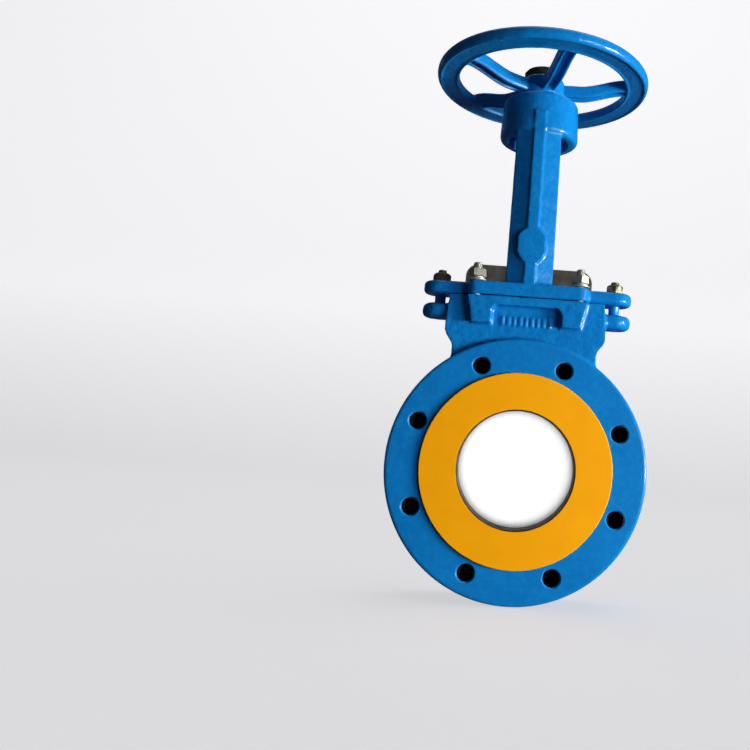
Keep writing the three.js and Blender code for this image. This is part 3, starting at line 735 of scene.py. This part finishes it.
def add_threaded_rod(bm, radius, z, pitch, depth, centre=(0, 0), hand=1, inner=None,
                     plain_to=None, bevel_h=0.8):
    """A rod whose surface follows a helical thread; inner makes it a sleeve."""
    count = 28
    steps = max(1, round((z[1] - z[0]) / (pitch / 6)))
    levels = [z[0] + (z[1] - z[0]) * k / steps for k in range(steps + 1)]
    rings = []
    for h in levels:
        ring = []
        end = min(h - z[0], z[1] - h)
        for i in range(count):
            turn = i / count
            phase = (h / pitch - hand * turn) % 1
            tooth = min(max(2.2 - abs(phase - 0.5) * 6, 0), 1)
            r = radius - depth * (1 - tooth)
            if plain_to is not None and h < plain_to:
                r = radius
            r = min(r, radius - bevel_h + end)
            a = 2 * math.pi * turn
            ring.append((centre[0] + r * math.cos(a), centre[1] + r * math.sin(a), h))
        rings.append(ring)
    if inner is None:
        add_rings(bm, rings)
        return
    rings += [circle(inner, h, count, centre) for h in (z[1], z[0])]
    rows = [[bm.verts.new(p) for p in ring] for ring in rings]
    for k, low in enumerate(rows):
        high = rows[(k + 1) % len(rows)]
        for i in range(count):
            j = (i + 1) % count
            bm.faces.new((low[i], low[j], high[j], high[i]))


def add_hex_nut(bm, across_flats, hole, z, centre=(0, 0), turn=0.0, dome=0.0):
    """A hexagonal nut whose corners are turned off on a cone, with a chamfered hole."""
    count = 72
    corner = across_flats / math.sqrt(3)
    flat = across_flats / 2
    rise = (corner - flat) * 0.62
    layers = [(z[0], flat - 0.3), (z[0] + rise * 0.55, corner), (z[1] - rise - dome, corner)]
    layers += [(z[1] - dome * 0.6, flat + 0.1), (z[1], flat - 0.4 - dome * 0.6)]
    rings = []
    for h, limit in layers:
        ring = []
        for i in range(count):
            a = 2 * math.pi * i / count
            off = (a - math.radians(turn)) % (math.pi / 3) - math.pi / 6
            r = min(flat / math.cos(off), limit)
            ring.append((centre[0] + r * math.cos(a), centre[1] + r * math.sin(a), h))
        rings.append(ring)
    rings.append(circle(hole + 0.7, z[1], count, centre))
    rings.append(circle(hole, z[1] - 0.7, count, centre))
    rings.append(circle(hole, z[0], count, centre))
    rows = [[bm.verts.new(p) for p in ring] for ring in rings]
    for k, low in enumerate(rows):
        high = rows[(k + 1) % len(rows)]
        for i in range(count):
            j = (i + 1) % count
            bm.faces.new((low[i], low[j], high[j], high[i]))


def turned_piece(name, profile, count, body, nodes, slot, look, centre=(0, 0)):
    bm = bmesh.new()
    add_turned(bm, profile, count, centre)
    obj = new_object(name, bm)
    place(obj, body, nodes, slot, look)
    shade(obj, 30)
    return obj


def washer_profile(inner, outer, z, edge=0.25):
    return [(inner, z[0]), (outer - edge, z[0]), (outer, z[0] + edge), (outer, z[1] - edge),
            (outer - edge, z[1]), (inner + edge, z[1]), (inner, z[1] - edge)]


def split_washer(name, node, centre, turn, z):
    """A spring washer: a nearly closed coil of square wire whose ends stand a little apart."""
    bm = bmesh.new()
    rings = []
    for k in range(33):
        share = k / 32
        a = math.radians(turn + 6 + 348 * share)
        lift = (share - 0.5) * 0.35
        low, high = z[0] + 0.18 + lift, z[1] - 0.18 + lift
        rings.append([(centre[0] + r * math.cos(a), centre[1] + r * math.sin(a), h)
                      for r, h in ((4.15, low), (6.45, low), (6.45, high), (4.15, high))])
    add_rings(bm, rings)
    obj = new_object(name, bm)
    place(obj, "valve_body", [node], "zinc_steel", "zinc")
    bevel(obj, 0.15, 1)
    shade(obj, 30)


def plate_fasteners():
    number = 0
    for y in (-PLATE_STUD[1], PLATE_STUD[1]):
        for x in (-PLATE_STUD[0], PLATE_STUD[0]):
            number += 1
            centre = (x, y)
            bm = bmesh.new()
            add_threaded_rod(bm, THREAD_R, span_mm(f"plate_stud_{number}", 2), 1.25, 0.55, centre)
            stud = new_object(f"corner_stud_{number}", bm)
            place(stud, "valve_body", [f"plate_stud_{number}"], "zinc_steel", "zinc")
            shade(stud, 50)
            z = span_mm(f"plate_washer_{number}", 2)
            turned_piece(f"corner_washer_{number}", washer_profile(NUT_HOLE_R, 8, z), 48, "valve_body",
                         [f"plate_washer_{number}"], "zinc_steel", "zinc", centre)
            split_washer(f"corner_spring_washer_{number}", f"plate_spring_washer_{number}", centre,
                         40 + 95 * (number - 1), span_mm(f"plate_spring_washer_{number}", 2))
            bm = bmesh.new()
            turn = 10 + 23 * (number - 1)
            add_hex_nut(bm, 13, NUT_HOLE_R, span_mm(f"plate_nut_{number}", 2), centre, turn)
            nut = new_object(f"corner_nut_{number}", bm)
            place(nut, "valve_body", [f"plate_nut_{number}"], "zinc_steel", "zinc")
            shade(nut, 28)


def ear_fasteners():
    for number, x in ((1, -EAR_X), (2, EAR_X)):
        z = span_mm(f"ear_stud_{number}", 2)
        bm = bmesh.new()
        shoulder = PLATE_Z[1] - 0.2
        shank = [(0, z[0]), (3.9, z[0]), (EAR_SHANK_R, z[0] + 0.8), (EAR_SHANK_R, shoulder), (0, shoulder)]
        add_turned(bm, shank, 32, (x, 0))
        add_threaded_rod(bm, THREAD_R, (150, z[1]), 1.25, 0.55, (x, 0))
        stud = new_object(f"long_stud_{number}", bm)
        place(stud, "valve_body", [f"ear_stud_{number}"], "blue_paint", "body", "olive")
        for face in stud.data.polygons:
            face.material_index = 1 if face.center.z > PLATE_Z[1] * MM else 0
        shade(stud, 50)
        bm = bmesh.new()
        turn = 30 * (number - 1)
        add_hex_nut(bm, 13.5, NUT_HOLE_R, span_mm(f"ear_nut_{number}", 2), (x, 0), turn, dome=1.4)
        nut = new_object(f"long_stud_nut_{number}", bm)
        place(nut, "valve_body", [f"ear_nut_{number}"], "zinc_steel", "olive")
        shade(nut, 28)


# ---- Gate, stem and drive -------------------------------------------------------------------

def gate_blade():
    corner = 11
    outline = arc((0, 0), GATE_X, 180, 360, 96)
    outline += arc((GATE_X - corner, GATE_TOP - corner), corner, 0, 90, 14)
    outline += arc((-GATE_X + corner, GATE_TOP - corner), corner, 90, 180, 14)
    bm = bmesh.new()
    add_prism_y(bm, outline, (-GATE_Y, GATE_Y))
    obj = new_object("gate_blade", bm)

    def bolt_holes_in_blade(tool):
        for x in (-10, 10):
            rings = [along_y(circle(3.3, h, 32)) for h in (-9, 9)]
            add_rings(tool, [[(x + px, py, 165 + pz) for px, py, pz in ring] for ring in rings])

    cut(obj, bolt_holes_in_blade)
    place(obj, "gate_and_stem", ["gate"], "stainless", "blade")
    bevel(obj, 0.5)
    shade(obj, 30)
    return obj


def stem_rod():
    bm = bmesh.new()
    add_threaded_rod(bm, STEM_R, (190.3, STEM_Z[1]), 4, 1.9, hand=-1, plain_to=197, bevel_h=1.5)
    add_turned(bm, [(0, STEM_Z[0]), (5.6, STEM_Z[0]), (6, STEM_Z[0] + 0.4), (6, 190.5), (0, 190.5)], 28)
    obj = new_object("threaded_stem", bm)
    place(obj, "gate_and_stem", ["stem"], "stainless", "stem")
    shade(obj, 60)


def stem_nut():
    bm = bmesh.new()
    foot = [(NUT_BORE_R, 296.4), (14.6, 296.4), (15, 296.8), (15, 304)]
    collar = [(23.6, 304), (24, 304.4), (24, 310.6), (23.6, 311), (15, 311), (15, 326.4), (14.7, 326.7)]
    sleeve = [(SLEEVE_R, 326.7), (SLEEVE_R, 346.9), (NUT_BORE_R, 346.9)]
    add_turned(bm, foot + collar + sleeve, 64)
    add_threaded_rod(bm, SLEEVE_R, (346.7, span_mm("stem_nut", 2)[1]), 1.5, 0.7, inner=NUT_BORE_R)
    obj = new_object("stem_nut_sleeve", bm)
    place(obj, "wheel_and_nut", ["stem_nut"], "nut_brass", "brass")
    shade(obj, 40)


def wheel_fasteners():
    z = span_mm("wheel_washer", 2)
    turned_piece("wheel_washer_disc", washer_profile(WHEEL_BORE_R, 17.5, z, 0.4), 72, "wheel_and_nut",
                 ["wheel_washer"], "black_steel", "black")
    bm = bmesh.new()
    add_hex_nut(bm, 30, WHEEL_BORE_R, span_mm("wheel_locknut", 2), turn=12, dome=0.8)
    nut = new_object("wheel_locknut_hex", bm)
    place(nut, "wheel_and_nut", ["wheel_locknut"], "black_steel", "black")
    shade(nut, 28)


def finish_cad_nodes():
    """The plain machined pieces keep their CAD shape, with eased edges and their own metal."""
    looks = {
        "seat_ring": "rubber", "seat_retaining_ring": "stem", "packing_ring_1": "braid",
        "packing_ring_2": "braid", "packing_ring_3": "braid", "packing_follower": "steel",
        "stem_clevis": "stem", "stem_pin": "steel", "clevis_bolt_1": "stem", "clevis_bolt_2": "stem",
        "clevis_nut_1": "stem", "clevis_nut_2": "stem", "lower_thrust_washer": "steel",
        "upper_thrust_washer": "steel", "bearing_cap": "steel", "wheel_key": "steel",
    }
    for node, look in looks.items():
        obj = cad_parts[node]
        obj.data.materials.clear()
        obj.data.materials.append(MAT[look])
        bevel(obj, 0.35)


# ---- Stage ----------------------------------------------------------------------------------

CAMERA_AIM = (4.86, 0, 130.9)
CAMERA_AZIMUTH = -0.7
CAMERA_ELEVATION = -8.32
CAMERA_ROLL = 4.0
CAMERA_DISTANCE = 657.1
CAMERA_LENS = 36.24  # for a 36 mm wide sensor
CAMERA_SHIFT = (-0.2093, -0.0787)


def camera():
    data = bpy.data.cameras.new("camera")
    data.lens = CAMERA_LENS
    data.sensor_width = 36
    data.shift_x, data.shift_y = CAMERA_SHIFT
    data.clip_start, data.clip_end = 0.01, 50
    obj = bpy.data.objects.new("camera", data)
    bpy.context.scene.collection.objects.link(obj)
    a, e = math.radians(CAMERA_AZIMUTH), math.radians(CAMERA_ELEVATION)
    back = Vector((math.sin(a) * math.cos(e), -math.cos(a) * math.cos(e), math.sin(e)))
    right = (-back).cross(Vector((0, 0, 1))).normalized()
    up = back.cross(right)
    roll = math.radians(CAMERA_ROLL)
    across = right * math.cos(roll) + up * math.sin(roll)
    upward = up * math.cos(roll) - right * math.sin(roll)
    place_at = Vector(CAMERA_AIM) + back * CAMERA_DISTANCE
    rotation = Matrix((across, upward, back)).transposed()
    obj.matrix_world = Matrix.Translation(place_at * MM) @ rotation.to_4x4()
    bpy.context.scene.camera = obj


def area_light(name, place_at, aim, size, watts, color=(1, 1, 1)):
    data = bpy.data.lights.new(name, "AREA")
    data.shape = "RECTANGLE"
    data.size, data.size_y = size
    data.energy = watts
    data.color = color
    obj = bpy.data.objects.new(name, data)
    bpy.context.scene.collection.objects.link(obj)
    obj.location = place_at
    obj.rotation_mode = "QUATERNION"
    obj.rotation_quaternion = (Vector(place_at) - Vector(aim)).to_track_quat("Z", "Y")
    obj.visible_camera = False
    return obj


def stage():
    """A pale sweep of level floor, curved foot and upright back, and a pale wall around it all."""
    bm = bmesh.new()
    floor = -FLANGE_R - 0.3
    radius, back, front, top, half = 700, 1900, -4500, 5000, 5000
    path = [(front, floor), (0, floor), (back - radius, floor)]
    path += [(back - radius + radius * math.sin(a), floor + radius * (1 - math.cos(a)))
             for a in [math.pi / 2 * k / 12 for k in range(1, 13)]]
    path.append((back, top))
    rows = [[bm.verts.new((x, y, z)) for y, z in path] for x in (-half, half)]
    for i in range(len(path) - 1):
        bm.faces.new((rows[0][i], rows[1][i], rows[1][i + 1], rows[0][i + 1]))
    sweep = new_object("pale_sweep", bm)
    s = Shader("pale_sweep")
    s.set(Roughness=0.9, Specular_IOR_Level=0.1, Emission_Color=(0.98, 0.98, 1, 1))
    split = s.tree.nodes.new("ShaderNodeSeparateXYZ")
    s.link(s.place, split.inputs[0])
    glow = s.ramp(s.math("ADD", split.outputs[2], 0.11), (0.0, 0.61), (0.5, 0.82))
    s.link(glow, s.out.inputs["Emission Strength"])
    paper = s.ramp(s.noise(3), (0.3, (0.56, 0.56, 0.565)), (0.7, (0.58, 0.58, 0.585)))
    sweep.data.materials.append(s.done(paper))
    shade(sweep, 60)
    bm = bmesh.new()
    wide, deep, tall = 8000, floor - 5, 7000
    add_turned(bm, [(0.01, deep), (wide, deep), (wide, tall), (wide + 10, tall), (wide + 10, deep - 10),
                    (0.01, deep - 10)], 96)
    surround = new_object("pale_surround", bm)
    s = Shader("pale_surround")
    s.set(Roughness=0.9, Specular_IOR_Level=0, Emission_Color=(0.98, 0.98, 1, 1), Emission_Strength=0.82)
    paper = s.ramp(s.noise(3), (0.3, (0.2, 0.2, 0.2)), (0.7, (0.22, 0.22, 0.22)))
    surround.data.materials.append(s.done(paper))
    shade(surround, 30)
    surround.visible_shadow = False
    for obj in (sweep, surround):
        obj.visible_diffuse = False
        obj.visible_glossy = False
    return sweep


def lit_only(light, objects, state="INCLUDE"):
    """Keeps a light to the given objects, or keeps it off them when state is EXCLUDE."""
    group = bpy.data.collections.new(light.name + "_objects")
    for obj in objects:
        group.objects.link(obj)
    light.light_linking.receiver_collection = group
    for member in group.collection_objects:
        member.light_linking.link_state = state


def lights(blade, sweep):
    key = area_light("key_right", (1.5, -0.58, 0.05), (0, 0, 0.1), (0.5, 0.26), 41, (1, 1, 0.82))
    low_front = area_light("low_front", (1.0, -1.0, -0.04), (0, 0, 0.1), (0.5, 0.12), 9)
    area_light("top", (0.2, 0.2, 2.2), (0, 0, 0), (1.8, 1.8), 8)
    behind = area_light("behind", (-0.8, 1.5, 0.7), (0, 0, 0.1), (1.0, 0.8), 24)
    behind.visible_glossy = False
    area_light("backdrop_top", (0, 0.7, 2.1), (0, 1.9, 0.5), (3, 0.8), 5)
    for light in (key, low_front, behind):
        lit_only(light, [sweep], "EXCLUDE")
    card = area_light("blade_card", (0, -1.9, 0.1), (0, 0, 0), (2.4, 1.6), 17)
    lit_only(card, [blade])
    world = bpy.data.worlds.new("studio")
    world.use_nodes = True
    world.node_tree.nodes["Background"].inputs["Color"].default_value = (0.9, 0.92, 1.0, 1)
    world.node_tree.nodes["Background"].inputs["Strength"].default_value = 0.05
    bpy.context.scene.world = world
    bpy.context.scene.view_settings.view_transform = "Standard"
    bpy.context.scene.view_settings.look = "None"


camera()
body_casting()
yoke_casting()
handwheel()
plate_fasteners()
ear_fasteners()
blade = gate_blade()
stem_rod()
stem_nut()
wheel_fasteners()
finish_cad_nodes()
lights(blade, stage())
